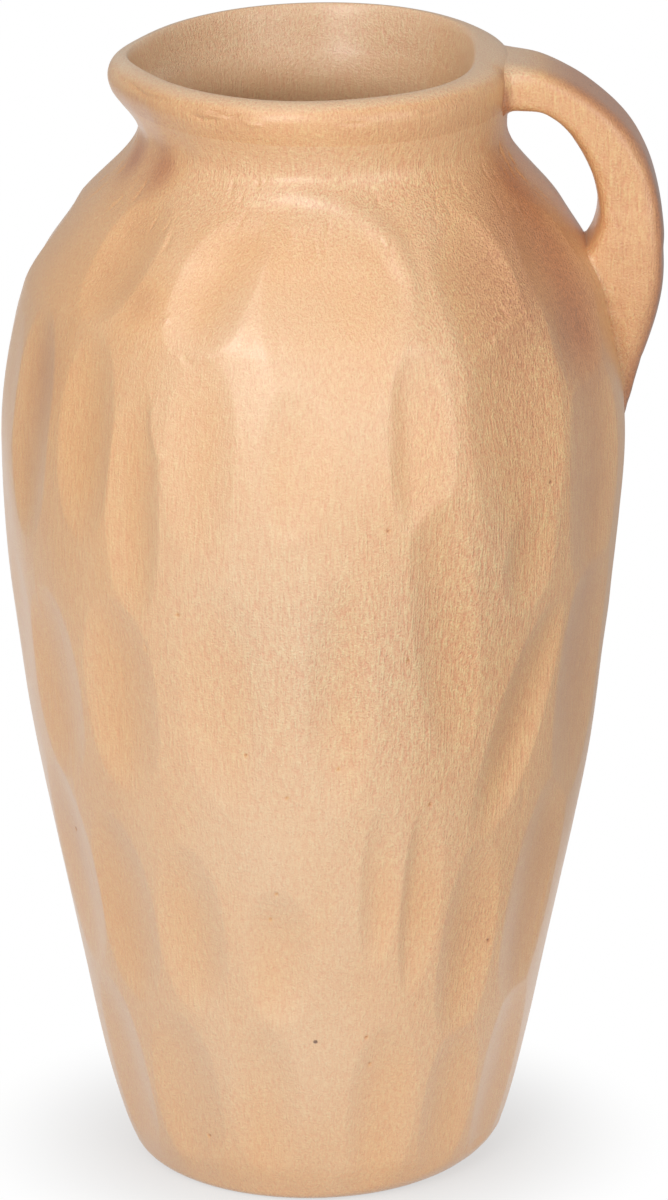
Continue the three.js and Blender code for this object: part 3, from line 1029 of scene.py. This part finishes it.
# The strap's back is painted deeper, as the shade of its outer face.
back = np.exp(-((from_back / BACK_SHADE_REACH) ** 2)) * smoothstep(strap_x, *BACK_SHADE_OUT)
# The whole strap is painted a little deeper as shade, and its corner darker as shade.
strap_tone = STRAP_SHADE + ROOT_WEAR_AND_SHEEN * root + BACK_SHADE * back - root_corner_shade(places(strap))
set_skin(strap, strap_tone, STRAP_SKIN)
print("strap's tone from", round(float(strap_tone.min()), 2), "to", round(float(strap_tone.max()), 2))

# %% [markdown]
# ## Wiring a material
#
# A material is a tree of nodes. In the editor each node is added, set and wired by hand. These helpers do
# that in a line each, so that the next cells read as a list of what the clay is made of.

# %% Helpers for materials
def new_material(name):
    """A new material, its tree of nodes and its main shader."""
    material = bpy.data.materials.new(name)
    material.use_nodes = True
    return material, material.node_tree, material.node_tree.nodes["Principled BSDF"]


def add_node(tree, kind, **settings):
    """Adds a node and sets its options and sockets. An underscore in a socket's name stands for a space."""
    made = tree.nodes.new("ShaderNode" + kind)
    for key, value in settings.items():
        if hasattr(made, key):
            setattr(made, key, value)
        else:
            made.inputs[key.replace("_", " ")].default_value = value
    return made


def feed(tree, target, value):
    """Wires a socket to the target, or sets the target to a plain value."""
    if isinstance(value, bpy.types.NodeSocket):
        tree.links.new(value, target)
    else:
        target.default_value = value


def calculate(tree, operation, *values):
    """The result of a Math node over sockets and numbers."""
    made = add_node(tree, "Math", operation=operation)
    for target, value in zip(made.inputs, values):
        feed(tree, target, value)
    return made.outputs["Value"]


def remap(tree, value, low, high, to_low=0.0, to_high=1.0, how="LINEAR"):
    """A socket's values, moved from one range into another and kept inside it."""
    ends = {"From_Min": low, "From_Max": high, "To_Min": to_low, "To_Max": to_high}
    made = add_node(tree, "MapRange", interpolation_type=how, **ends)
    feed(tree, made.inputs["Value"], value)
    return made.outputs["Result"]


clay, tree, shader = new_material("fired_clay")
print("the clay starts with", len(tree.nodes), "nodes")

# %% [markdown]
# ## Colour of the clay
#
# The vase has a thin warm coat of peach-coloured slip, brushed on up and down and rubbed to a satin shine.
# The tone of each corner, broad patches and smears pick its colour from a ramp, and fine streaks and a sandy
# grain show over it where the skin is coarse. Object coordinates carry the pattern on from piece to piece,
# since all pieces share one frame. An image texture would show its seams and its pixels.

# %% Colour of the clay
PALE = (0.82, 0.575, 0.37, 1)
WARM = (0.79, 0.435, 0.195, 1)
DEEP = (0.54, 0.21, 0.08, 1)
# The darkest colour, for pinholes, is painted shade.
PINHOLE_SHADE = (0.20, 0.10, 0.055, 1)
DEEP_AT = 0.12
WARM_AT = 0.5
CLOUDING = 0.22
GRAIN_SHOWS = 0.16
NOISE_LOW = 0.3
NOISE_HIGH = 0.7
position = add_node(tree, "TexCoord").outputs["Object"]


def noise(scale, detail, roughness=0.55):
    """Cloudy noise, finer the larger the scale along an axis."""
    mapping = add_node(tree, "Mapping", Scale=scale)
    tree.links.new(position, mapping.inputs["Vector"])
    made = add_node(tree, "TexNoise", Scale=1.0, Detail=detail, Roughness=roughness)
    tree.links.new(mapping.outputs["Vector"], made.inputs["Vector"])
    return made.outputs["Fac"]


def mixed(amount, first, second, how="MIX"):
    """Two colours, mixed by the amount."""
    mix = add_node(tree, "Mix", data_type="RGBA", blend_type=how)
    for name, kind, value in (("Factor", "VALUE", amount), ("A", "RGBA", first), ("B", "RGBA", second)):
        feed(tree, next(s for s in mix.inputs if s.name == name and s.type == kind), value)
    return next(s for s in mix.outputs if s.type == "RGBA")


patches = noise((14, 14, 14), 3)
smears = noise((60, 60, 9), 3)
streaks = remap(tree, noise((1500, 1500, 150), 2, 0.6), NOISE_LOW, NOISE_HIGH)
grain = remap(tree, noise((1500, 1500, 1500), 2, 0.6), NOISE_LOW, NOISE_HIGH)

# The corner's own tone sets the place on the ramp, and patches and smears swing it to and fro.
tone = add_node(tree, "Attribute", attribute_name="tone").outputs["Fac"]
level = calculate(tree, "MULTIPLY_ADD", tone, 0.5, 0.5 - CLOUDING)
level = calculate(tree, "MULTIPLY_ADD", patches, CLOUDING, level)
level = calculate(tree, "MULTIPLY_ADD", smears, CLOUDING, level)
ramp = add_node(tree, "ValToRGB")
ramp.color_ramp.elements[0].color = PINHOLE_SHADE
ramp.color_ramp.elements[1].color = PALE
ramp.color_ramp.elements.new(DEEP_AT).color = DEEP
ramp.color_ramp.elements.new(WARM_AT).color = WARM
tree.links.new(level, ramp.inputs["Fac"])

coarse = add_node(tree, "Attribute", attribute_name="coarse").outputs["Fac"]
shows = calculate(tree, "MULTIPLY", coarse, GRAIN_SHOWS)
streaked = mixed(shows, ramp.outputs["Color"], streaks, "OVERLAY")
grainy = mixed(shows, streaked, grain, "OVERLAY")
print("the colour takes", len(tree.nodes), "nodes")

# %% [markdown]
# ## Skin of the clay
#
# Chaff in the clay burns out and leaves pinholes: the middles of a few cells of a cell pattern, a little
# sunk and painted dark as the shade inside them. Streaks and grain roughen the skin by a fraction of a
# millimetre, which is too fine for the mesh and is left to bump. The shine is that of rubbed clay, rough
# underneath with a thin smoother coat.

# %% Skin of the clay
CELLS = 75.0
HOLED_SHARE = 0.09
HOLE_EDGE = 0.075
HOLE_FLOOR = 0.03
HOLE_SINK = -2.0
GRAIN_STRENGTH = 0.8
GRAIN_HEIGHT = 0.2 * MM
RUBBED = 0.36
UNRUBBED = 0.46
SHEEN = {
    "IOR": 1.5,
    "Specular IOR Level": 0.8,
    "Coat Weight": 0.75,
    "Coat Roughness": 0.33,
    "Coat IOR": 1.5,
}

cells = add_node(tree, "TexVoronoi", Scale=CELLS)
tree.links.new(position, cells.inputs["Vector"])
chosen = calculate(tree, "LESS_THAN", cells.outputs["Color"], HOLED_SHARE)
middle = remap(tree, cells.outputs["Distance"], HOLE_EDGE, HOLE_FLOOR, how="SMOOTHSTEP")
holes = calculate(tree, "MULTIPLY", chosen, middle)
tree.links.new(mixed(holes, grainy, PINHOLE_SHADE), shader.inputs["Base Color"])

rough_skin = calculate(tree, "MULTIPLY", calculate(tree, "ADD", streaks, grain), coarse)
skin_height = calculate(tree, "MULTIPLY_ADD", holes, HOLE_SINK, rough_skin)
bump = add_node(tree, "Bump", Strength=GRAIN_STRENGTH, Distance=GRAIN_HEIGHT)
tree.links.new(skin_height, bump.inputs["Height"])
tree.links.new(bump.outputs["Normal"], shader.inputs["Normal"])

roughness = remap(tree, smears, NOISE_LOW, NOISE_HIGH, RUBBED, UNRUBBED)
tree.links.new(roughness, shader.inputs["Roughness"])
for socket, value in SHEEN.items():
    shader.inputs[socket].default_value = value
print("the whole clay takes", len(tree.nodes), "nodes")

# %% [markdown]
# ## Dressing the pieces
#
# The whole pot is one clay, so all pieces share the material. Each one takes the place of its CAD piece and
# keeps a slot of its own, so that another maker can change a single piece.

# %% Dress the pieces
for node_name, piece in pieces.items():
    piece.data.materials.clear()
    piece.data.materials.append(clay)
    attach(piece, "root")
    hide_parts(node_name)
print(len(pieces), "pieces dressed in clay")

# %% [markdown]
# ## Lamps
#
# The photo is a plain studio shot, with its light from the left. A soft key lamp stands in front, to the
# left and above, and leaves its sheen on the shoulder. A broad low fill keeps the right flank from going
# black, and a third lamp shines over the lip into the mouth. Area lamps give soft edges, as softboxes do.

# %% Lamps
POT_MIDDLE = Vector((0, 0, 0.24))

# Name, turn and rise in degrees as seen from the pot, distance, width and height in metres, and power.
LAMPS = [
    ("key_lamp", -109, 23, 2.4, 0.7, 0.9, 20),
    ("fill_lamp", -56, 8, 2.6, 1.6, 1.4, 17),
    ("top_lamp", -122, 48, 2.3, 1.2, 1.2, 10),
]


def add_lamp(name, turn, rise, distance, width, height, power):
    """A soft lamp that faces the middle of the pot."""
    turn, rise = math.radians(turn), math.radians(rise)
    way = Vector((math.cos(turn) * math.cos(rise), math.sin(turn) * math.cos(rise), math.sin(rise)))
    lamp = bpy.data.objects.new(name, bpy.data.lights.new(name, "AREA"))
    lamp.data.shape = "RECTANGLE"
    lamp.data.size = width
    lamp.data.size_y = height
    lamp.data.energy = power
    lamp.location = POT_MIDDLE + way * distance
    lamp.visible_camera = False
    bpy.context.scene.collection.objects.link(lamp)
    point_at(lamp, POT_MIDDLE)
    return lamp


for settings in LAMPS:
    lamp = add_lamp(*settings)
    print(lamp.name, "at", [round(value, 2) for value in lamp.location])

# %% [markdown]
# ## Floor and room
#
# The ground of the photo is plain white, so the floor is a sheet that keeps the vase's shadow close by and
# turns pure white away from it. Light Path tells rays that are seen from rays that only carry light, so the
# sheet looks white without lighting the vase any more. It ends near the handle's side, where the satin clay
# mirrors the grey room instead and stays dark.

# %% Floor and room
LEFT, RIGHT, FRONT, BACK = -0.6, 0.2, -1.5, 2.0
SHEET_COLOUR = (0.6, 0.6, 0.6, 1)
SHEET_ROUGHNESS = 0.9
SHEET_DROP = 0.2 * MM
SHADOW_FROM = 0.05
SHADOW_TO = 0.13
UNDER_POT = 0.6
ROOM_LIGHT = 0.46


def seen_ray(tree):
    """One for rays that show the ground, straight or in a shine or through glass, and nought for others."""
    path = add_node(tree, "LightPath")
    seen = path.outputs["Is Camera Ray"]
    for ray in ("Is Glossy Ray", "Is Transmission Ray"):
        seen = calculate(tree, "MAXIMUM", seen, path.outputs[ray])
    return seen


def floor_material():
    """A matt sheet that is seen as white, and less so under the pot, where its shadow lies."""
    material, tree, sheet = new_material("floor_sheet")
    sheet.inputs["Base Color"].default_value = SHEET_COLOUR
    sheet.inputs["Roughness"].default_value = SHEET_ROUGHNESS
    sheet.inputs["Specular IOR Level"].default_value = 0.0
    white = add_node(tree, "Emission")
    far = add_node(tree, "VectorMath", operation="LENGTH")
    tree.links.new(add_node(tree, "TexCoord").outputs["Object"], far.inputs[0])
    fade = remap(tree, far.outputs["Value"], SHADOW_FROM, SHADOW_TO, UNDER_POT, 1.0, "SMOOTHSTEP")
    mix = add_node(tree, "MixShader")
    tree.links.new(calculate(tree, "MULTIPLY", seen_ray(tree), fade), mix.inputs["Fac"])
    tree.links.new(sheet.outputs["BSDF"], mix.inputs[1])
    tree.links.new(white.outputs["Emission"], mix.inputs[2])
    tree.links.new(mix.outputs["Shader"], tree.nodes["Material Output"].inputs["Surface"])
    return material


floor_mesh = bpy.data.meshes.new("floor")
corners = [(LEFT, FRONT, 0), (RIGHT, FRONT, 0), (RIGHT, BACK, 0), (LEFT, BACK, 0)]
floor_mesh.from_pydata(corners, [], [(0, 1, 2, 3)])
floor_mesh.materials.append(floor_material())
floor = bpy.data.objects.new("floor", floor_mesh)
floor.location.z = -SHEET_DROP
bpy.context.scene.collection.objects.link(floor)

world = bpy.data.worlds.new("grey_room")
bpy.context.scene.world = world
world.use_nodes = True
background = world.node_tree.nodes["Background"]
background.inputs["Color"].default_value = (1, 1, 1, 1)
background.inputs["Strength"].default_value = ROOM_LIGHT
bpy.context.scene.view_settings.view_transform = "Standard"
print("sheet of", RIGHT - LEFT, "by", BACK - FRONT, "m, room light", ROOM_LIGHT)
